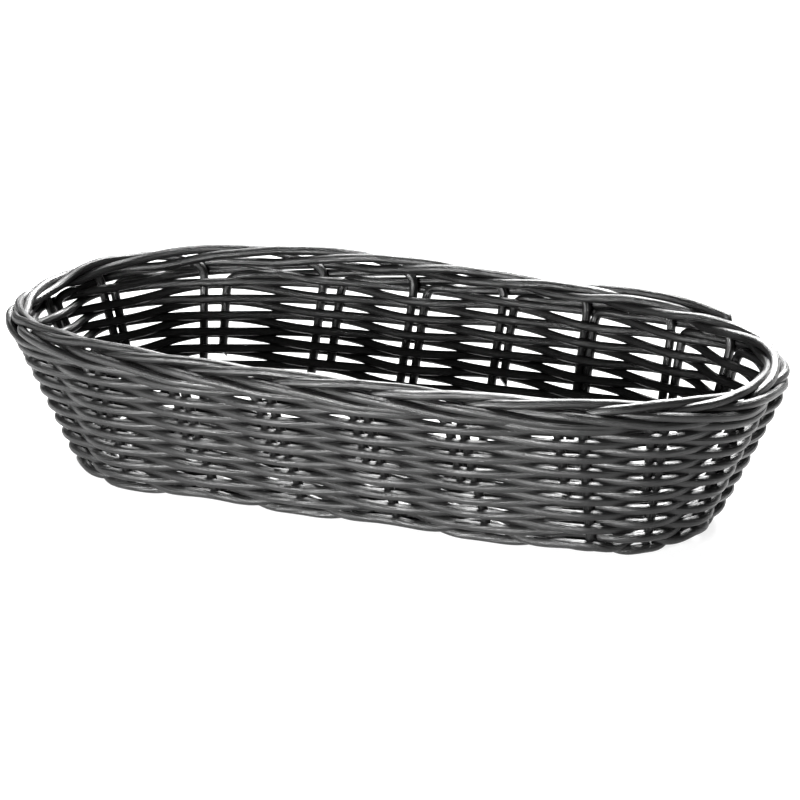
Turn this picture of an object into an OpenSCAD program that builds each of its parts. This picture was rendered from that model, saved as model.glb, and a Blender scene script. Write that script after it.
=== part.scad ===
// Oblong bread basket, woven from round plastic cord.
// +X runs along the basket, -Y is its front, +Z is up, and it stands on z = 0.
// Ten cords form the frame. Each runs up one wall, across the base and up the
// opposite wall, and both of its ends are rolled into the border and tucked down
// beside the fifth stake along. Single weavers go in and out between the pairs of
// cords on the walls, and three pairs of weavers are twined round the base. One short
// loose rod lies on the border at the back right.

/* [Rim] */
// Length of the oval on which the stakes reach the border
rim_length = 371; // [355:1:385]
// Width of the same oval; the border stands out about 6 mm further all round
rim_width = 158; // [150:1:170]
// Height from the table to the top of the border, at the middle of a long side
rim_height = 84; // [82:0.5:90]
// How much lower the border is at the ends
rim_dip = 4; // [0:0.5:4]
// Exponent of the rim's oval: 2 is an ellipse, more is fuller in the corners
rim_fullness = 2.4; // [2.2:0.1:2.8]

/* [Base] */
// Length of the base, to the axes of the stakes where they turn up
base_length = 310; // [300:1:325]
// Width of the base, to the same axes
base_width = 93; // [88:1:100]
// How far the middle of the base stands above its edge
base_dome = 2.6; // [2.2:0.1:4]
// Distance in from the edge at which it reaches that
dome_run = 20; // [18:1:24]

/* [Cord] */
// Diameter of every cord
cord_d = 4; // [3.8:0.1:4.2]
// Corners of a cord's section
cord_sides = 6; // [6:1:8]

/* [Weave] */
// Rise from one round of the wall to the next
round_rise = 4; // [4:0.05:4.1]
// Distance between rounds on the base
base_pitch = 7.5; // [7.5:0.1:8]
// Distance between the long stakes where they cross the base
long_pitch = 9; // [8.5:0.1:9.5]

/* [Hidden] */
// Where the pairs of stakes stand: along the basket on its front and back, and round
// its ends from the nearest corner of the base. They are set by hand, so not quite even.
FRONT_X = [-115.5, -70.5, -25.5, 21.5, 66, 114.5];
RIGHT_END = [33, 58, 82, 114];
BACK_X = [116, 73, 30, -16.5, -62, -117];
LEFT_END = [45, 65, 86, 106];
// At each pair, from the front left: how far apart its two cords stand, how far down the
// tucked one of them reaches, and how much higher than even its upper rounds, its lower
// rounds and the border's crest lie.
PAIR_GAPS = [5, 6, 7, 6.7, 6.5, 7.5, 3.6, 3.6, 3.6, 3.6, 4.4, 4.4, 5.7, 6.7, 9.5, 8, 3.6, 3.6, 3.6, 3.6];
TUCKS = [34, 35.5, 39, 31.5, 36, 35.5, 35, 36, 34, 35, 35, 35.5, 35.5, 40, 38, 35, 34, 36, 35, 34];
TOP_LIFTS = [-1, 0, 0, 0.8, 0.8, 0.8, 0.5, 0, 0, 0, 0, -0.5, 0.5, -0.5, 1.5, 4, 1, -1, -1, -1];
LOW_LIFTS = [-0.5, 0, 0, 0, -0.5, 2.5, 1, 0, 0, 0, 0.5, 2.5, 4, 4.5, 6.5, 5, 1.5, 0, 0, 0];
CREST_LIFTS = [0, 0, 0, 0, 0, 0, 0, 0, 0, 0, -0.3, -1, 0, 2, 3.5, 3.5, 1.5, -1.5, -1.5, -1];

CROSS_STAKES = len(FRONT_X);
LONG_STAKES = len(RIGHT_END);
WALL_ROUNDS = 19;
BASE_ROUNDS = 3;
STATIONS = 2 * (CROSS_STAKES + LONG_STAKES);
WEAVER_NAMES = ["a", "b"];

// How far a weaver passes outside or inside a stake, and how far the pair twined round
// the base passes above and below each other. The cords are pressed together a little.
weave_out = 0.9 * cord_d;
weave_up = 0.45 * cord_d;

// Heights: the stakes' axes at the base's edge, with the lowest weavers on the table,
// and the lowest level of the border, whose crest tops out 3.05 cords above.
edge_z = 3.85;
border_z = rim_height - 3.05 * cord_d;
// The middle of the wall's first round, and how far in from the edge the base's rounds start.
first_level = -0.6 * round_rise;
base_inset = 4.5;
// How much higher a round of the wall rides outside a stake than its even level, and
// how much lower inside one.
ride = 0.37 * round_rise;
// Round the wall's foot: from how far below the edge to how far above it the weave
// turns, how far from it the rounds are drawn in, and by how much at a stake and between.
turn_below = 8;
turn_above = 4;
foot_reach = 10;
foot_in = 0.3 * cord_d;
foot_out = 0.45 * cord_d;

// The base's edge is a straight-sided oval with round ends.
end_r = base_width / 2;
side_half = base_length / 2 - end_r;
side_run = 2 * side_half;
end_run = PI * end_r;
edge_run = 2 * side_run + 2 * end_run;

// The stakes' axes follow this oval where they reach the border.
rim_a = rim_length / 2;
rim_b = rim_width / 2;

// One end of a stake in the border, station by station after its own: how far
// along, how far outward and how far above the border's lowest level, in cords.
BORDER = [
    [0, 0, 0.9],
    [0.05, 0.05, 1.35],
    [0.14, 0.12, 1.7],
    [0.3, 0.3, 1.95],
    [0.6, 0.5, 2.2],
    [1, 0, 2.55],
    [1.5, -0.45, 2.5],
    [2, -1, 1.9],
    [2.5, -0.5, 1.3],
    [2.75, 0.25, 1.35],
    [3, 1, 1.45],
    [3.5, 1, 0.95],
    [4, 1, 0.3],
    [4.5, 0, 0.05],
    [4.85, -0.5, 0.15],
    [4.95, -0.3, -0.1],
    [5, 0, -0.7]
];

// The loose rod on top of the border: stations, cords outward, cords up.
LOOSE_ROD = [
    [11.2, 1, 1.8],
    [10.9, 1, 2.4],
    [10.5, 0.95, 2.85],
    [10.1, 0.9, 3.15],
    [9.7, 0.75, 3.25],
    [9.2, 0.6, 3.1]
];

// Where station s meets the base's edge, as a distance along it from the front
// left corner, counter-clockwise seen from above.
stake_runs = concat(
    [for (x = FRONT_X) side_half + x],
    [for (d = RIGHT_END) side_run + d],
    [for (x = BACK_X) side_run + end_run + side_half - x],
    [for (d = LEFT_END) 2 * side_run + end_run + d]
);
run_table = [for (i = [0:STATIONS]) [i, i < STATIONS ? stake_runs[i] : stake_runs[0] + edge_run]];
function turn(s) = s - STATIONS * floor(s / STATIONS);
function run_at(s) =
    let (run = lookup(turn(s), run_table))
    run >= edge_run ? run - edge_run : run < 0 ? run + edge_run : run;

function clamped(value) = max(0, min(1, value));
// A value set at each station, passing gently from one to the next.
function eased(values, s) =
    let (first = floor(s), share = (1 - cos(180 * (s - first))) / 2)
    values[turn(first)] * (1 - share) + values[turn(first + 1)] * share;

// Outward direction and point of the base's edge, at a distance along it.
function edge_dir(run) =
    run < side_run ? [0, -1, 0] :
    run < side_run + end_run ? let (a = (run - side_run) / end_r * 180 / PI - 90) [cos(a), sin(a), 0] :
    run < 2 * side_run + end_run ? [0, 1, 0] :
    let (a = (run - 2 * side_run - end_run) / end_r * 180 / PI + 90) [cos(a), sin(a), 0];
function edge_point(run) =
    let (d = edge_dir(run))
    run < side_run ? [run - side_half, -end_r, 0] :
    run < side_run + end_run ? [side_half, 0, 0] + end_r * d :
    run < 2 * side_run + end_run ? [side_run + end_run + side_half - run, end_r, 0] :
    [-side_half, 0, 0] + end_r * d;

// How far out of the base's edge the rim's oval lies, found by halving.
function in_rim(p) = pow(abs(p[0]) / rim_a, rim_fullness) + pow(abs(p[1]) / rim_b, rim_fullness) < 1;
function reach(p, d, low, high, steps) =
    steps == 0 ? low :
    let (mid = (low + high) / 2)
    in_rim(p + mid * d) ? reach(p, d, mid, high, steps - 1) : reach(p, d, low, mid, steps - 1);
FLARE_STEPS = 240;
flare_table = [
    for (i = [0:FLARE_STEPS])
        let (run = min(edge_run * i / FLARE_STEPS, edge_run - 0.001))
        [edge_run * i / FLARE_STEPS, reach(edge_point(run), edge_dir(run), 0, 60, 16)]
];
function flare(run) = lookup(run, flare_table);

// A place on the weave is [point, outward, along the stake].
// On the wall, at what would be height z at the middle of a long side.
function wall_place(s, z) =
    let (run = run_at(s), d = edge_dir(run), e = edge_point(run), top = e + flare(run) * d,
         rise = border_z - edge_z - rim_dip * pow(top[0] / rim_a, 2),
         tilt = atan(flare(run) / rise), part = (z - edge_z) / (border_z - edge_z))
    [e + flare(run) * part * d + [0, 0, edge_z + rise * part],
     d * cos(tilt) - [0, 0, sin(tilt)],
     d * sin(tilt) + [0, 0, cos(tilt)]];
// On the base, a distance in from its edge.
function base_z(inset) = edge_z + base_dome * sin(90 * min(inset / dome_run, 1));
function base_place(s, inset) =
    let (run = run_at(s), d = edge_dir(run))
    [edge_point(run) - d * inset + [0, 0, base_z(inset)], [0, 0, -1], d];
// On the k-th round of the wall. The lowest rounds turn round the wall's foot and in
// under the base. Each rides higher where it passes outside a stake than inside.
function wall_round_place(s, k) =
    let (even = first_level + (k - 1) * round_rise + ride * cos(180 * (s + k)),
         up = (even - edge_z) / (border_z - edge_z),
         lift = eased(LOW_LIFTS, s) * (1 - up) + eased(TOP_LIFTS, s) * up,
         level = even + lift * clamped(6 * up),
         wall = wall_place(s, max(level, edge_z)),
         base = base_place(s, max(edge_z - level, 0)),
         turned = clamped((level - edge_z + turn_below) / (turn_below + turn_above)),
         out = unit(turned * wall[1] + (1 - turned) * base[1]),
         along = unit(turned * wall[2] + (1 - turned) * base[2]),
         point = level > edge_z ? wall[0] : base[0],
         foot = clamped(1 - abs(level - edge_z) / foot_reach),
         inward = foot * (foot_in - (foot_in + foot_out) * pow(sin(180 * s), 2)))
    [point - inward * out, out, along];
// In the border, out and up in cords from the stakes' oval at its lowest level.
function border_point(s, out, up) =
    let (wall = wall_place(s, border_z))
    wall[0] + cord_d * (out * edge_dir(run_at(s)) + [0, 0, up]);

// Cords: closed weavers keep their section turned to the wall, and open stakes
// carry it along without twist.
function unit(v) = v / norm(v);
function across(v, t) = unit(v - t * (v * t));
function ring(p, t, v) =
    let (u = across(v, t), w = cross(t, u))
    [for (k = [0:cord_sides - 1]) p + cord_d / 2 * (cos(360 * k / cord_sides) * u + sin(360 * k / cord_sides) * w)];
function tangent(path, i, closed) =
    let (n = len(path),
         before = closed || i > 0 ? unit(path[i] - path[(i + n - 1) % n]) : [0, 0, 0],
         after = closed || i < n - 1 ? unit(path[(i + 1) % n] - path[i]) : [0, 0, 0])
    unit(before + after);
function carried(path, i, v, done) =
    i == len(path) ? done :
    let (u = across(v, tangent(path, i, false)))
    carried(path, i + 1, u, concat(done, [u]));
function band(i, j) = [
    for (k = [0:cord_sides - 1])
        let (n = (k + 1) % cord_sides)
        each [
            [i * cord_sides + k, i * cord_sides + n, j * cord_sides + n],
            [i * cord_sides + k, j * cord_sides + n, j * cord_sides + k]
        ]
];

module closed_cord(path, outs) {
    n = len(path);
    rings = [for (i = [0:n - 1]) each ring(path[i], tangent(path, i, true), outs[i])];
    faces = [for (i = [0:n - 1]) each band(i, (i + 1) % n)];
    polyhedron(points = rings, faces = faces, convexity = 10);
}

module open_cord(path, start) {
    n = len(path);
    ups = carried(path, 0, start, []);
    rings = [for (i = [0:n - 1]) each ring(path[i], tangent(path, i, false), ups[i])];
    sides = [for (i = [0:n - 2]) each band(i, i + 1)];
    first_cap = [for (k = [cord_sides - 1:-1:0]) k];
    last_cap = [for (k = [0:cord_sides - 1]) (n - 1) * cord_sides + k];
    polyhedron(points = rings, faces = concat([first_cap], sides, [last_cap]), convexity = 10);
}

// A weaver that passes outside one stake and inside the next. One of a twined pair
// also swings up or down on its way, with its partner one stake out of step.
module strand(places, phase, swing) {
    steps = len(places);
    path = [
        for (i = [0:steps - 1])
            let (a = 360 * i / steps * STATIONS / 2 + 180 * phase, p = places[i])
            p[0] + weave_out * cos(a) * p[1] - swing * sin(a) * p[2]
    ];
    closed_cord(path, [for (p = places) p[1]]);
}
function stations(per_gap) = [for (i = [0:STATIONS * per_gap - 1]) i / per_gap];

module wall_weaver(k) {
    color([0.06, 0.06, 0.06])
    strand([for (s = stations(2)) wall_round_place(s, k)], k, 0);
}

module base_weaver(k, phase) {
    color([0.06, 0.06, 0.06])
    strand([for (s = stations(2)) base_place(s, base_inset + k * base_pitch)], phase, weave_up);
}

// Where a cord of the pair at station i stands: the stake at side 1, the tucked end
// of another at side -1.
function pair_place(i, side) =
    let (first = turn(side > 0 ? i : i - 1))
    i + side * PAIR_GAPS[turn(i)] / 2 / (run_table[first + 1][1] - run_table[first][1]);

// A point of the border on the end of the stake at station i.
function border_route(i, b) =
    let (s = i + lookup(b[0], [[0, pair_place(i, 1) - i], [0.5, 0.5], [4.5, 4.5], [5, pair_place(i + 5, -1) - i]]),
         lift = eased(CREST_LIFTS, s) * lookup(b[0], [[0.1, 0], [0.6, 1], [2, 1], [3, 0]]))
    border_point(s, b[1], b[2] + lift / cord_d);

// One end of the stake at station i, from the base's edge to its tucked tip.
function stake_end(i) =
    let (s = pair_place(i, 1),
         tuck_s = pair_place(i + 5, -1),
         tuck_z = border_z - TUCKS[turn(i + 5)])
    concat(
        [base_place(s, 5)[0], base_place(s, 1.5)[0]],
        [wall_place(s, edge_z + 2.5)[0], wall_place(s, border_z)[0]],
        [for (b = BORDER) border_route(i, b)],
        [wall_place(tuck_s, border_z - 1.5 * cord_d)[0], wall_place(tuck_s, tuck_z)[0]]
    );
function reversed(list) = [for (i = [len(list) - 1:-1:0]) list[i]];

module cross_stake(k) {
    front = stake_end(k - 1);
    back = stake_end(STATIONS - LONG_STAKES - k);
    middle = [(front[0][0] + back[0][0]) / 2, 0, base_z(dome_run)];
    color([0.05, 0.05, 0.05])
    open_cord(concat(reversed(front), [middle], back), [1, 0, 0]);
}

// A long stake passes over one cross stake and under the next.
module long_stake(k) {
    right = stake_end(CROSS_STAKES + k - 1);
    left = stake_end(STATIONS - k);
    y = (k - (LONG_STAKES + 1) / 2) * long_pitch;
    crossings = [
        for (i = [0:CROSS_STAKES - 1])
            let (front = edge_point(run_at(pair_place(i, 1))),
                 back = edge_point(run_at(pair_place(STATIONS - LONG_STAKES - 1 - i, 1))),
                 over = (i + k) % 2 == 0 ? 1 : -1)
            [lookup(y, [[-end_r, front[0]], [end_r, back[0]]]), y, base_z(dome_run) + cord_d * over]
    ];
    color([0.05, 0.05, 0.05])
    open_cord(concat(reversed(left), crossings, right), [0, 1, 0]);
}

module loose_rod() {
    color([0.05, 0.05, 0.05])
    open_cord([for (b = LOOSE_ROD) border_point(b[0], b[1], b[2])], [0, 0, 1]);
}

for (k = [1:CROSS_STAKES])
    cross_stake(k);
for (k = [1:LONG_STAKES])
    long_stake(k);
for (k = [1:BASE_ROUNDS], phase = [0, 1])
    base_weaver(k, phase);
for (k = [1:WALL_ROUNDS])
    wall_weaver(k);
loose_rod();
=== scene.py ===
"""An oblong bread basket woven from round black plastic cord, on a pale studio floor.

Every cord of the CAD model is swept again close to its own route, as a smooth grooved
cord. Routes are worked out in millimetres and turned into metres as each mesh is made.
"""
import math

import bpy
import numpy as np
from mathutils import Matrix, Vector

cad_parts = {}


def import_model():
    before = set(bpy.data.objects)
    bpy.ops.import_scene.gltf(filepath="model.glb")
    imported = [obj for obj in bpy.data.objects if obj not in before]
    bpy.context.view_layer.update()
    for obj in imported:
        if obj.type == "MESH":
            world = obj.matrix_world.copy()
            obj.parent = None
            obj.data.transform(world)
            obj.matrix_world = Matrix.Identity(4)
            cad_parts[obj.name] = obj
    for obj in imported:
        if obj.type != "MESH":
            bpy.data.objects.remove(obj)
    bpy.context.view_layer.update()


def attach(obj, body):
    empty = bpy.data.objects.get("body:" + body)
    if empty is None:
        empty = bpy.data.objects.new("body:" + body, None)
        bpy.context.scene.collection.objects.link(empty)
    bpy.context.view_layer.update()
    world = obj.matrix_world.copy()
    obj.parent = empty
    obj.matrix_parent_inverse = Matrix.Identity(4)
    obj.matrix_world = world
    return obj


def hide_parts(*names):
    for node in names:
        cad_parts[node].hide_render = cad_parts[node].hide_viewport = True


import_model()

MM = 0.001

# Driving dimensions, in millimetres. All but CORD_D and EDGE_Z are the CAD model's.
RIM_LENGTH, RIM_WIDTH, RIM_HEIGHT, RIM_DIP = 371.0, 158.0, 84.0, 4.0
RIM_FULLNESS = 2.4
BASE_LENGTH, BASE_WIDTH, BASE_DOME, DOME_RUN = 310.0, 93.0, 2.6, 20.0
# The cord diameter that places are worked out from, and the fuller one that is swept.
PITCH_D = 4.0
CORD_D = 4.35
ROUND_RISE, BASE_INSET, BASE_PITCH, LONG_PITCH = 4.0, 4.5, 7.5, 9.0
WALL_ROUNDS, BASE_ROUNDS = 19, 3

# Where the pairs of stakes stand: along the basket on its front and back, and round
# its ends from the nearest corner of the base. They are listed one by one, so not quite even.
FRONT_X = [-115.5, -70.5, -25.5, 21.5, 66.0, 114.5]
RIGHT_END = [33.0, 58.0, 82.0, 114.0]
BACK_X = [116.0, 73.0, 30.0, -16.5, -62.0, -117.0]
LEFT_END = [45.0, 65.0, 86.0, 106.0]
# At each pair, from the front left: how far apart its two cords stand, how far down the
# tucked one of them reaches, and how much higher than even its upper rounds, its lower
# rounds and the border's crest lie.
PAIR_GAPS = [5, 6, 7, 6.7, 6.5, 7.5, 3.6, 3.6, 3.6, 3.6, 4.4, 4.4, 5.7, 6.7, 9.5, 8, 3.6, 3.6, 3.6, 3.6]
TUCKS = [34, 35.5, 39, 31.5, 36, 35.5, 35, 36, 34, 35, 35, 35.5, 35.5, 40, 38, 35, 34, 36, 35, 34]
TOP_LIFTS = [-1, 0, 0, 0.8, 0.8, 0.8, 0.5, 0, 0, 0, 0, -0.5, 0.5, -0.5, 1.5, 4, 1, -1, -1, -1]
LOW_LIFTS = [-0.5, 0, 0, 0, -0.5, 2.5, 1, 0, 0, 0, 0.5, 2.5, 4, 4.5, 6.5, 5, 1.5, 0, 0, 0]
CREST_LIFTS = [0, 0, 0, 0, 0, 0, 0, 0, 0, 0, -0.3, -1, 0, 2, 3.5, 3.5, 1.5, -1.5, -1.5, -1]

CROSS_STAKES, LONG_STAKES = len(FRONT_X), len(RIGHT_END)
STATIONS = 2 * (CROSS_STAKES + LONG_STAKES)

# The height of the base's edge keeps the lowest cords above the floor. The lowest level
# of the border lies 3.05 cords below its crest.
EDGE_Z = 4.3
BORDER_Z = RIM_HEIGHT - 3.05 * PITCH_D
# The base's edge is a straight-sided oval with round ends, and the rim another oval.
END_R = BASE_WIDTH / 2
SIDE_HALF = BASE_LENGTH / 2 - END_R
SIDE_RUN = 2 * SIDE_HALF
END_RUN = math.pi * END_R
EDGE_RUN = 2 * SIDE_RUN + 2 * END_RUN
RIM_A, RIM_B = RIM_LENGTH / 2, RIM_WIDTH / 2

# A stake's end in the border: stations after its own, cords outward, cords up. After
# TUCK_STATIONS it is tucked down beside another stake. It rises with the crest as the
# stations of CREST_SPAN say, from not at all to fully and back.
TUCK_STATIONS = 5
BORDER_STEPS = 120
CREST_SPAN = (0.1, 0.6, 2, 3)
BORDER = np.array([
    (0, 0, 0.9), (0.05, 0.05, 1.35), (0.14, 0.12, 1.7), (0.3, 0.3, 1.95),
    (0.6, 0.5, 2.2), (1, 0, 2.55), (1.5, -0.45, 2.5), (2, -1, 1.9),
    (2.5, -0.5, 1.3), (2.75, 0.25, 1.35), (3, 1, 1.45), (3.5, 1, 0.95), (4, 1, 0.3),
    (4.5, 0, 0.05), (4.85, -0.5, 0.15), (4.95, -0.3, -0.1), (5, 0, -0.7),
])
# The loose rod on top of the border: stations, cords outward, cords up.
LOOSE_ROD = np.array([
    (11.2, 1, 1.8), (10.9, 1, 2.4), (10.5, 0.95, 2.85),
    (10.1, 0.9, 3.15), (9.7, 0.75, 3.25), (9.2, 0.6, 3.1),
])
# How far a weaver passes outside or inside the stakes of the wall, or below or above
# those of the base, and how far the two of a twined pair part sideways between stakes.
WEAVE_OUT, TWINE_SIDE = 3.6, 1.8

# The level of the wall's first round, and how much a round rides up outside a stake and
# down inside one. The lifts grow to their full size over the lowest sixth of the wall.
FIRST_LEVEL = -0.6 * ROUND_RISE
RIDE = 0.37 * ROUND_RISE
LIFT_GROWTH = 6
# Round the wall's foot: from how far below the edge to how far above it the weave turns,
# how far from it the rounds are drawn in, and by how much at a stake and between.
TURN_BELOW, TURN_ABOVE, FOOT_REACH = 8.0, 4.0, 10.0
FOOT_IN, FOOT_OUT = 0.3 * PITCH_D, 0.45 * PITCH_D

# Where a stake's route has points: at these insets on the base, this far up the wall,
# and this many cords below the border where it is tucked down.
STAKE_INSETS = np.array([5.0, 1.5])
WALL_START = 2.5
TUCK_START = 1.5

# The cord's section, how finely it is swept and how far its corners are rounded. An
# exponent of 2 would make the section round, and more makes it squarer.
SIDES = 36
RINGS_PER_GAP = 24
STAKE_STEP = 1.5
RELAX_PASSES = 8
GROOVE_DEPTH = 0.12
SQUARENESS = 2.3
# The whole turns that a weaver twists by on its round, from the first of these to below
# the second, and the radians that a stake twists by at most, either way.
WEAVER_TURNS = (3, 8)
STAKE_TWIST = 6
# The turn of the section, in radians, at which a cut end reaches furthest, and the
# millimetres of cord for each unit of the UV map.
END_CUT_TURN = 1.0
UV_LENGTH = 100.0

# How far cords stray: weavers outward and along the stakes in millimetres, and stake
# ends in the border outward and up in cords.
WEAVER_STRAY = (0.06, 0.15)
BORDER_STRAY = (0.06, 0.04)


# ---------------------------------------------------------------- the weave's places

# How far round the base's edge each station stands, from the front left corner.
STATION_RUNS = np.array(
    [SIDE_HALF + x for x in FRONT_X]
    + [SIDE_RUN + d for d in RIGHT_END]
    + [SIDE_RUN + END_RUN + SIDE_HALF - x for x in BACK_X]
    + [2 * SIDE_RUN + END_RUN + d for d in LEFT_END]
    + [SIDE_HALF + FRONT_X[0] + EDGE_RUN])


def eased(values, s):
    """A value set at each station, passing gently from one to the next."""
    values = np.array(values, float)
    first = np.floor(s).astype(int)
    share = (1 - np.cos(math.pi * (s - first))) / 2
    return values[first % STATIONS] * (1 - share) + values[(first + 1) % STATIONS] * share


def run_at(s):
    """How far round the base's edge a place between stations is."""
    return np.interp(np.mod(s, STATIONS), np.arange(STATIONS + 1), STATION_RUNS) % EDGE_RUN


def edge_at(run):
    """Points of the base's edge and its outward directions, as N x 3 arrays."""
    right = (run - SIDE_RUN) / END_R - math.pi / 2
    left = (run - 2 * SIDE_RUN - END_RUN) / END_R + math.pi / 2
    on_front = run < SIDE_RUN
    on_right = (run >= SIDE_RUN) & (run < SIDE_RUN + END_RUN)
    on_back = (run >= SIDE_RUN + END_RUN) & (run < 2 * SIDE_RUN + END_RUN)
    pick = [on_front, on_right, on_back]
    dx = np.select(pick, [0 * run, np.cos(right), 0 * run], np.cos(left))
    dy = np.select(pick, [0 * run - 1, np.sin(right), 0 * run + 1], np.sin(left))
    front_x, back_x = run - SIDE_HALF, SIDE_RUN + END_RUN + SIDE_HALF - run
    x = np.select(pick, [front_x, SIDE_HALF + END_R * dx, back_x], -SIDE_HALF + END_R * dx)
    zero = np.zeros_like(run)
    return np.stack([x, END_R * dy, zero], 1), np.stack([dx, dy, zero], 1)


# The rim's oval is looked for up to this far outward, in this many halvings.
WIDEST_FLARE = 60.0
HALVINGS = 22


def flare_at(point, out):
    """How far outward of the base's edge the rim's oval lies, by halving."""
    low, high = np.zeros(len(point)), np.full(len(point), WIDEST_FLARE)
    for _ in range(HALVINGS):
        mid = (low + high) / 2
        q = point + mid[:, None] * out
        x, y = np.abs(q[:, 0] / RIM_A), np.abs(q[:, 1] / RIM_B)
        inside = x ** RIM_FULLNESS + y ** RIM_FULLNESS < 1
        low, high = np.where(inside, mid, low), np.where(inside, high, mid)
    return low


UP = np.array([0.0, 0.0, 1.0])


def wall_place(s, z):
    """Point, outward and along-stake directions on the wall. z is the height at the
    middle of a long side."""
    point, out = edge_at(run_at(s))
    flare = flare_at(point, out)
    top = point + flare[:, None] * out
    rise = BORDER_Z - EDGE_Z - RIM_DIP * (top[:, 0] / RIM_A) ** 2
    tilt = np.arctan(flare / rise)[:, None]
    part = ((z - EDGE_Z) / (BORDER_Z - EDGE_Z)) * np.ones_like(flare)
    place = point + (flare * part)[:, None] * out + (EDGE_Z + rise * part)[:, None] * UP
    return place, out * np.cos(tilt) - UP * np.sin(tilt), out * np.sin(tilt) + UP * np.cos(tilt)


def base_z(inset):
    """The height of the base, which is domed inside its edge."""
    return EDGE_Z + BASE_DOME * np.sin(math.pi / 2 * np.minimum(inset / DOME_RUN, 1))


def base_place(s, inset):
    """Point, outward and along-stake directions on the base, where outward is down."""
    point, out = edge_at(run_at(s))
    inset = (inset * np.ones_like(s))[:, None]
    place = point - inset * out + base_z(inset) * UP
    return place, np.tile(-UP, (len(place), 1)), out


def unit(v):
    return v / np.linalg.norm(v, axis=-1, keepdims=True)


def wall_round_place(s, k):
    """The k-th weaver's places: up the wall, or round its foot and in under the base.
    It rides higher where it passes outside a stake than where it passes inside."""
    level = FIRST_LEVEL + (k - 1) * ROUND_RISE + RIDE * np.cos(math.pi * (s + k))
    up = (level - EDGE_Z) / (BORDER_Z - EDGE_Z)
    lift = eased(LOW_LIFTS, s) * (1 - up) + eased(TOP_LIFTS, s) * up
    level = level + lift * np.clip(LIFT_GROWTH * up, 0, 1)
    wall = wall_place(s, np.maximum(level, EDGE_Z))
    base = base_place(s, np.maximum(EDGE_Z - level, 0))
    turned = np.clip((level - EDGE_Z + TURN_BELOW) / (TURN_BELOW + TURN_ABOVE), 0, 1)[:, None]
    out = unit(turned * wall[1] + (1 - turned) * base[1])
    along = unit(turned * wall[2] + (1 - turned) * base[2])
    point = np.where((level > EDGE_Z)[:, None], wall[0], base[0])
    foot = np.clip(1 - np.abs(level - EDGE_Z) / FOOT_REACH, 0, 1)
    inward = foot * (FOOT_IN - (FOOT_IN + FOOT_OUT) * np.sin(math.pi * s) ** 2)
    return point - inward[:, None] * out, out, along


def border_point(s, out, up):
    """Points in the border, some cords outward and up from its lowest level."""
    point = wall_place(s, BORDER_Z)[0]
    direction = edge_at(run_at(s))[1]
    return point + PITCH_D * (out[:, None] * direction + up[:, None] * UP)


# ---------------------------------------------------------------- cords

def resampled(path, step):
    """The path again, with its points evenly spaced about step apart."""
    lengths = np.r_[0, np.cumsum(np.linalg.norm(np.diff(path, axis=0), axis=1))]
    at = np.linspace(0, lengths[-1], max(int(lengths[-1] / step), 2) + 1)
    return np.stack([np.interp(at, lengths, path[:, k]) for k in range(3)], 1)


def relaxed(path, passes):
    """The path with its corners rounded, as a springy cord rounds them. Its ends stay."""
    for _ in range(passes):
        inner = 0.25 * path[:-2] + 0.5 * path[1:-1] + 0.25 * path[2:]
        path = np.concatenate([path[:1], inner, path[-1:]])
    return path


def wander(rng, at, period, size):
    """A smooth seeded wobble of about the given size, which closes over the period. It
    has two to eight waves in it."""
    total = np.zeros_like(at, dtype=float)
    for k in range(2, 9):
        height = rng.normal() / k
        total += height * np.sin(2 * math.pi * k * at / period + rng.uniform(0, 2 * math.pi))
    return size * total


def groove_profile(rng):
    """Radius of the section by angle: an extruded cord with shallow lengthwise grooves,
    five to eleven waves of them round it."""
    turn = np.arange(SIDES) * 2 * math.pi / SIDES
    depth = sum(rng.normal() * np.cos(k * turn + rng.uniform(0, 2 * math.pi)) for k in range(5, 12))
    return CORD_D / 2 - GROOVE_DEPTH * (depth / np.abs(depth).max() + 1) / 2


def carried(tangents, start):
    """A direction carried along the path without twist."""
    ups = np.empty_like(tangents)
    up = start
    for i, tangent in enumerate(tangents):
        up = up - tangent * (up @ tangent)
        up = up / np.linalg.norm(up)
        ups[i] = up
    return ups


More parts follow.
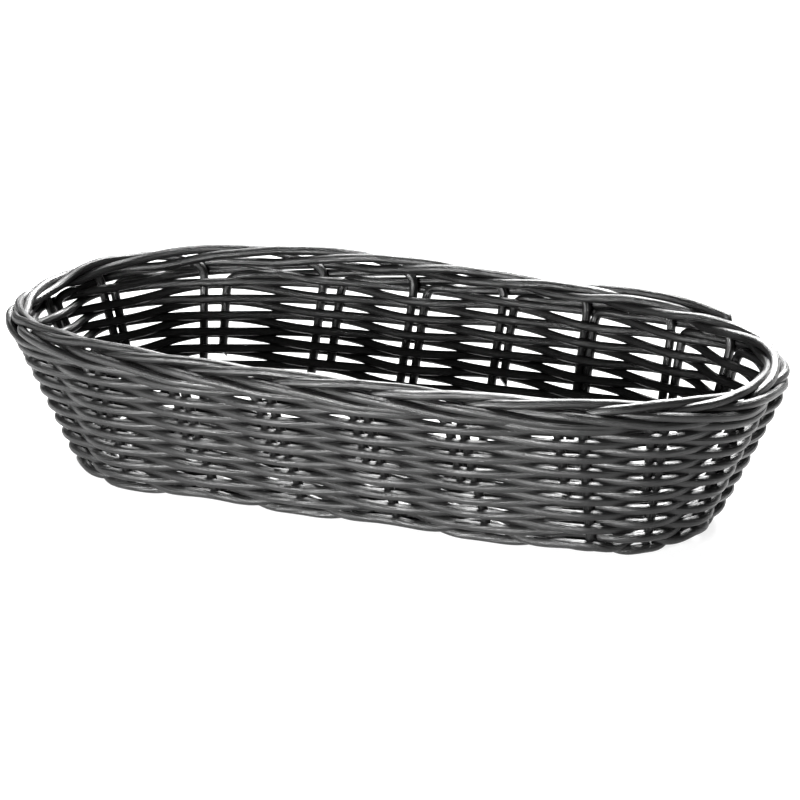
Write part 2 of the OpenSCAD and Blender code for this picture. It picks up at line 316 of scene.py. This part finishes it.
def sweep(name, path, ups, closed, rng, twist):
    """A cord's mesh along a path, with its angle and length kept as a UV map. ups gives
    the section's upward direction, for every point or for the first alone."""
    n = len(path)
    if closed:
        tangents = unit(np.roll(path, -1, 0) - np.roll(path, 1, 0))
    else:
        tangents = unit(np.gradient(path, axis=0))
    if ups.ndim == 1:
        ups = carried(tangents, ups)
    ups = unit(ups - tangents * (ups * tangents).sum(1, keepdims=True))
    sides = np.cross(tangents, ups)
    profile = groove_profile(rng)
    turn = np.arange(SIDES) * 2 * math.pi / SIDES
    spin = twist * np.arange(n) / n
    angle = turn[None, :] + spin[:, None]
    cosine, sine = np.cos(angle), np.sin(angle)
    square = (np.abs(cosine) ** SQUARENESS + np.abs(sine) ** SQUARENESS) ** (-1 / SQUARENESS)
    rings = path[:, None, :] + (profile * square)[:, :, None] * (
        cosine[:, :, None] * ups[:, None, :] + sine[:, :, None] * sides[:, None, :])
    if not closed:
        for end, way in ((0, -1.0), (n - 1, 1.0)):
            slant = profile * np.cos(turn - END_CUT_TURN) + CORD_D / 2
            rings[end] += way * slant[:, None] * tangents[end]
    verts = rings.reshape(-1, 3)

    row = np.arange(n if closed else n - 1)
    i, k = np.meshgrid(row, np.arange(SIDES), indexing="ij")
    j, m = (i + 1) % n, (k + 1) % SIDES
    quads = np.stack([i * SIDES + k, i * SIDES + m, j * SIDES + m, j * SIDES + k], -1).reshape(-1, 4)
    gaps = np.linalg.norm(np.roll(path, -1, 0) - path, axis=1)
    along = np.r_[0, np.cumsum(gaps)]
    u = np.stack([k, k + 1, k + 1, k], -1).reshape(-1) / SIDES
    v = np.stack([along[i], along[i], along[i + 1], along[i + 1]], -1).reshape(-1) / UV_LENGTH

    caps = []
    if not closed:
        centre, ring = n * SIDES, (n - 1) * SIDES
        first = [(centre, (q + 1) % SIDES, q) for q in range(SIDES)]
        last = [(centre + 1, ring + q, ring + (q + 1) % SIDES) for q in range(SIDES)]
        caps = first + last
        verts = np.concatenate([verts, [rings[0].mean(0)], [rings[-1].mean(0)]])
    loops = np.r_[quads.reshape(-1), np.array(caps, int).reshape(-1)]
    sizes = np.r_[np.full(len(quads), 4), np.full(len(caps), 3)]
    starts = np.r_[0, np.cumsum(sizes)[:-1]]

    mesh = bpy.data.meshes.new(name)
    mesh.vertices.add(len(verts))
    mesh.vertices.foreach_set("co", (verts * MM).astype(np.float32).reshape(-1))
    mesh.loops.add(len(loops))
    mesh.loops.foreach_set("vertex_index", loops.astype(np.int32))
    mesh.polygons.add(len(sizes))
    mesh.polygons.foreach_set("loop_start", starts.astype(np.int32))
    uv = mesh.uv_layers.new(name="cord")
    values = np.zeros((len(loops), 2), np.float32)
    values[:len(u), 0], values[:len(u), 1] = u, v
    uv.data.foreach_set("uv", values.reshape(-1))
    mesh.update(calc_edges=True)
    smooth = np.r_[np.ones(len(quads), bool), np.zeros(len(caps), bool)]
    mesh.polygons.foreach_set("use_smooth", smooth)
    mesh.validate()
    return mesh


def add_piece(node, mesh, material):
    """The cord that takes the place of a CAD node."""
    piece = bpy.data.objects.new(node + "_cord", mesh)
    bpy.context.scene.collection.objects.link(piece)
    mesh.materials.append(material)
    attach(piece, "root")
    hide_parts(node)


# ---------------------------------------------------------------- routes

def strand(node, places, phase, swing, rng, material):
    """A weaver that passes outside one stake and inside the next, on a closed round. It
    swings by this much across its own plane between stakes."""
    point, out, along = places
    s = np.arange(len(point)) / RINGS_PER_GAP
    a = math.pi * (s + phase)
    outward = WEAVE_OUT * np.cos(a) + wander(rng, s, STATIONS, WEAVER_STRAY[0])
    upward = -swing * np.sin(a) + wander(rng, s, STATIONS, WEAVER_STRAY[1])
    path = point + outward[:, None] * out + upward[:, None] * along
    twist = 2 * math.pi * int(rng.integers(*WEAVER_TURNS)) * (1 if phase % 2 else -1)
    mesh = sweep(node, path, out, True, rng, twist)
    add_piece(node, mesh, material)


def stations():
    """The rings of a closed round, in stations."""
    return np.arange(STATIONS * RINGS_PER_GAP) / RINGS_PER_GAP


def pair_place(i, side):
    """Where a cord of the pair at station i stands: the stake at side 1, and the tucked
    end of another at side -1."""
    gap_run = STATION_RUNS[1:] - STATION_RUNS[:-1]
    pitch = gap_run[(i if side > 0 else i - 1) % STATIONS]
    return i + side * PAIR_GAPS[i % STATIONS] / 2 / pitch


def border_route(i, rng):
    """The end of station i's stake through the border, from its own place to the one
    where it is tucked. Only its upper part rises with the crest."""
    step = np.unique(np.r_[np.linspace(0, TUCK_STATIONS, BORDER_STEPS), BORDER[:, 0]])
    out = np.interp(step, BORDER[:, 0], BORDER[:, 1])
    out = out + wander(rng, step, TUCK_STATIONS, BORDER_STRAY[0])
    up = np.interp(step, BORDER[:, 0], BORDER[:, 2])
    up = up + wander(rng, step, TUCK_STATIONS, BORDER_STRAY[1])
    own, tucked = pair_place(i, 1) - i, pair_place(i + TUCK_STATIONS, -1) - i
    steps = (0, 0.5, TUCK_STATIONS - 0.5, TUCK_STATIONS)
    s = i + np.interp(step, steps, (own, *steps[1:3], tucked))
    lift = eased(CREST_LIFTS, s) * np.interp(step, CREST_SPAN, (0, 1, 1, 0))
    return border_point(s, out, up + lift / PITCH_D)


def stake_end(i, rng):
    """One end of the stake at station i, from the base's edge through the border to its
    tucked tip."""
    s, tuck_s = pair_place(i, 1), pair_place(i + TUCK_STATIONS, -1)
    tip_z = BORDER_Z - TUCKS[(i + TUCK_STATIONS) % STATIONS]
    base = base_place(np.full(2, s), STAKE_INSETS)[0]
    wall = wall_place(np.full(2, s), np.array([EDGE_Z + WALL_START, BORDER_Z]))[0]
    tuck = wall_place(np.full(2, tuck_s), np.array([BORDER_Z - TUCK_START * PITCH_D, tip_z]))[0]
    return np.concatenate([base, wall, border_route(i, rng), tuck])


def stake(node, knots, start_up, rng, material):
    """An open cord through the knots, with its corners rounded."""
    path = resampled(knots, STAKE_STEP)
    path = resampled(relaxed(path, RELAX_PASSES), STAKE_STEP)
    mesh = sweep(node, path, start_up, False, rng, rng.uniform(-STAKE_TWIST, STAKE_TWIST))
    add_piece(node, mesh, material)


def cross_stake(k, rng, material):
    """A cross stake runs over the middle of the base, from the front wall to the back."""
    front = stake_end(k - 1, rng)
    back = stake_end(STATIONS - LONG_STAKES - k, rng)
    middle = np.array([[(front[0, 0] + back[0, 0]) / 2, 0, base_z(DOME_RUN)]])
    knots = np.concatenate([front[::-1], middle, back])
    stake(f"cross_stake_{k}", knots, np.array([1.0, 0, 0]), rng, material)


def long_stake(k, rng, material):
    """A long stake passes over one cross stake and under the next."""
    right = stake_end(CROSS_STAKES + k - 1, rng)
    left = stake_end(STATIONS - k, rng)
    y = (k - (LONG_STAKES + 1) / 2) * LONG_PITCH
    crossings = []
    for i in range(CROSS_STAKES):
        ends = np.array([pair_place(i, 1), pair_place(STATIONS - LONG_STAKES - 1 - i, 1)])
        front_x, back_x = edge_at(run_at(ends))[0][:, 0]
        over = 1 if (i + k) % 2 == 0 else -1
        x = np.interp(y, (-END_R, END_R), (front_x, back_x))
        crossings.append((x, y, base_z(DOME_RUN) + PITCH_D * over))
    knots = np.concatenate([left[::-1], crossings, right])
    stake(f"long_stake_{k}", knots, np.array([0, 1.0, 0]), rng, material)


def loose_rod(rng, material):
    """A short cut end that lies on top of the border at the back right."""
    knots = border_point(LOOSE_ROD[:, 0], LOOSE_ROD[:, 1], LOOSE_ROD[:, 2])
    stake("loose_rod", knots, np.array([0, 0, 1.0]), rng, material)


# ---------------------------------------------------------------- materials

# Noises on the cord: scale, detail and stretch along it.
STREAKS = (5.0, 4.0, 1.3)
GRAIN = (22.0, 2.0, 3.0)
# Streaks between these two values change the roughness by this range, and the grain
# multiplies the shade by this one.
STREAK_SPAN = (0.3, 0.7)
ROUGH_RANGE = (-0.26, 0.2)
SHADE_RANGE = (0.6, 1.5)
CORD_SPECULAR = 0.42
# How far the noises move on for each unit of the UV map's length, the depth of the bumps
# in metres, and the shares of streaks and grain in them.
LENGTH_SCALE = 0.9
BUMP_DEPTH = 0.0003
BUMP_STREAKS, BUMP_GRAIN = 0.8, 0.2


def cord_material(name, shade, rough):
    """Black extruded plastic: fine lengthwise streaks in its gloss and its surface."""
    material = bpy.data.materials.new(name)
    material.use_nodes = True
    nodes, links = material.node_tree.nodes, material.node_tree.links
    shader = nodes["Principled BSDF"]
    shader.inputs["Specular IOR Level"].default_value = CORD_SPECULAR
    uv = nodes.new("ShaderNodeUVMap")
    uv.uv_map = "cord"
    split = nodes.new("ShaderNodeSeparateXYZ")
    links.new(uv.outputs["UV"], split.inputs[0])

    def math_node(operation, a, b=None):
        """A math node of one or two inputs, which may be sockets or numbers."""
        node = nodes.new("ShaderNodeMath")
        node.operation = operation
        for socket, value in zip(node.inputs, (a, b)):
            if isinstance(value, (int, float)):
                socket.default_value = value
            elif value is not None:
                links.new(value, socket)
        return node.outputs[0]

    # The noises are read on a round tube, so that they meet where the UV map does.
    angle = math_node("MULTIPLY", split.outputs["X"], 2 * math.pi)
    ring = nodes.new("ShaderNodeCombineXYZ")
    links.new(math_node("COSINE", angle), ring.inputs["X"])
    links.new(math_node("SINE", angle), ring.inputs["Y"])
    links.new(math_node("MULTIPLY", split.outputs["Y"], LENGTH_SCALE), ring.inputs["Z"])

    def noise(scale, detail, stretch):
        place = nodes.new("ShaderNodeVectorMath")
        place.operation = "MULTIPLY"
        place.inputs[1].default_value = (1, 1, stretch)
        links.new(ring.outputs[0], place.inputs[0])
        texture = nodes.new("ShaderNodeTexNoise")
        texture.inputs["Scale"].default_value = scale
        texture.inputs["Detail"].default_value = detail
        links.new(place.outputs[0], texture.inputs["Vector"])
        return texture.outputs["Fac"]

    streaks = noise(*STREAKS)
    grain = noise(*GRAIN)

    gloss = nodes.new("ShaderNodeMapRange")
    for end, span, change in zip(("Min", "Max"), STREAK_SPAN, ROUGH_RANGE):
        gloss.inputs["From " + end].default_value = span
        gloss.inputs["To " + end].default_value = rough + change
    links.new(streaks, gloss.inputs["Value"])
    links.new(gloss.outputs["Result"], shader.inputs["Roughness"])
    tint = nodes.new("ShaderNodeValToRGB")
    for element, share in zip(tint.color_ramp.elements, SHADE_RANGE):
        element.color = (shade * share, shade * share, shade * share, 1)
    links.new(grain, tint.inputs["Fac"])
    links.new(tint.outputs["Color"], shader.inputs["Base Color"])
    bump = nodes.new("ShaderNodeBump")
    bump.inputs["Strength"].default_value = 1.0
    bump.inputs["Distance"].default_value = BUMP_DEPTH
    height = math_node("ADD", math_node("MULTIPLY", streaks, BUMP_STREAKS),
                       math_node("MULTIPLY", grain, BUMP_GRAIN))
    links.new(height, bump.inputs["Height"])
    links.new(bump.outputs["Normal"], shader.inputs["Normal"])
    return material


def floor_material():
    """A pale matt floor that glows a little, so that it stays even."""
    material = bpy.data.materials.new("studio_floor")
    material.use_nodes = True
    shader = material.node_tree.nodes["Principled BSDF"]
    shader.inputs["Base Color"].default_value = (0.25, 0.25, 0.25, 1)
    shader.inputs["Roughness"].default_value = 0.9
    shader.inputs["Specular IOR Level"].default_value = 0.1
    shader.inputs["Emission Color"].default_value = (1, 1, 1, 1)
    shader.inputs["Emission Strength"].default_value = 0.85
    return material


# ---------------------------------------------------------------- the basket

WEAVER = cord_material("black_weaver_cord", 0.004, 0.46)
STAKE = cord_material("black_stake_cord", 0.0035, 0.42)

# Each cord has a seed of its own.
for k in range(1, CROSS_STAKES + 1):
    cross_stake(k, np.random.default_rng(100 + k), STAKE)
for k in range(1, LONG_STAKES + 1):
    long_stake(k, np.random.default_rng(200 + k), STAKE)
for k in range(1, BASE_ROUNDS + 1):
    for phase, letter in enumerate("ab"):
        rng = np.random.default_rng(300 + 2 * k + phase)
        places = base_place(stations(), BASE_INSET + k * BASE_PITCH)
        strand(f"base_weaver_{k}{letter}", places, phase, TWINE_SIDE, rng, WEAVER)
for k in range(1, WALL_ROUNDS + 1):
    rng = np.random.default_rng(400 + k)
    strand(f"wall_weaver_{k}", wall_round_place(stations(), k), k, 0, rng, WEAVER)
loose_rod(np.random.default_rng(500), STAKE)


# ---------------------------------------------------------------- studio

def floor():
    reach = 6.0
    corners = [(-reach, -reach, 0), (reach, -reach, 0), (reach, reach, 0), (-reach, reach, 0)]
    mesh = bpy.data.meshes.new("studio_floor")
    mesh.from_pydata(corners, [], [(0, 1, 2, 3)])
    mesh.materials.append(floor_material())
    obj = bpy.data.objects.new("studio_floor", mesh)
    bpy.context.scene.collection.objects.link(obj)


def soft_light(name, place, target, size, power):
    """A square area light at a place, turned towards a target."""
    data = bpy.data.lights.new(name, "AREA")
    data.size = size
    data.energy = power
    light = bpy.data.objects.new(name, data)
    light.location = place
    light.rotation_euler = (Vector(target) - Vector(place)).to_track_quat("-Z", "Y").to_euler()
    bpy.context.scene.collection.objects.link(light)


# The camera: degrees round from the front, up and of roll, metres away from a point this
# high over the middle, and its lens and sensor in millimetres.
CAMERA_AZIMUTH, CAMERA_ELEVATION, CAMERA_ROLL = 24.61, 21.02, -1.93
CAMERA_DISTANCE = 1.6984
AIM_HEIGHT = 0.038
LENS, SENSOR_WIDTH = 163.93, 36.0
LENS_SHIFT = (0.01475, 0.01306)


def camera():
    """A long lens at the photograph's viewing angle."""
    azimuth, elevation = math.radians(CAMERA_AZIMUTH), math.radians(CAMERA_ELEVATION)
    roll = math.radians(CAMERA_ROLL)
    away = Vector((math.sin(azimuth) * math.cos(elevation),
                   -math.cos(azimuth) * math.cos(elevation),
                   math.sin(elevation)))
    right = (-away).cross(Vector((0, 0, 1))).normalized()
    up = right.cross(-away)
    turned_right = right * math.cos(roll) + up * math.sin(roll)
    turned_up = up * math.cos(roll) - right * math.sin(roll)
    data = bpy.data.cameras.new("camera")
    data.sensor_width = SENSOR_WIDTH
    data.lens = LENS
    data.shift_x, data.shift_y = LENS_SHIFT
    obj = bpy.data.objects.new("camera", data)
    place = away * CAMERA_DISTANCE + Vector((0, 0, AIM_HEIGHT))
    columns = Matrix((turned_right, turned_up, away)).transposed()
    obj.matrix_world = Matrix.Translation(place) @ columns.to_4x4()
    bpy.context.scene.collection.objects.link(obj)
    bpy.context.scene.camera = obj


def world():
    """A dim white surround."""
    background = bpy.data.worlds.new("studio")
    background.use_nodes = True
    node = background.node_tree.nodes["Background"]
    node.inputs["Color"].default_value = (1, 1, 1, 1)
    node.inputs["Strength"].default_value = 0.1
    bpy.context.scene.world = background


floor()
soft_light("back", (-0.1, 1.25, 1.35), (0, 0, 0), 1.1, 290)
soft_light("front", (-0.3, -1.1, 0.13), (0.04, 0, 0.04), 0.45, 60)
world()
camera()
bpy.context.scene.view_settings.view_transform = "Standard"
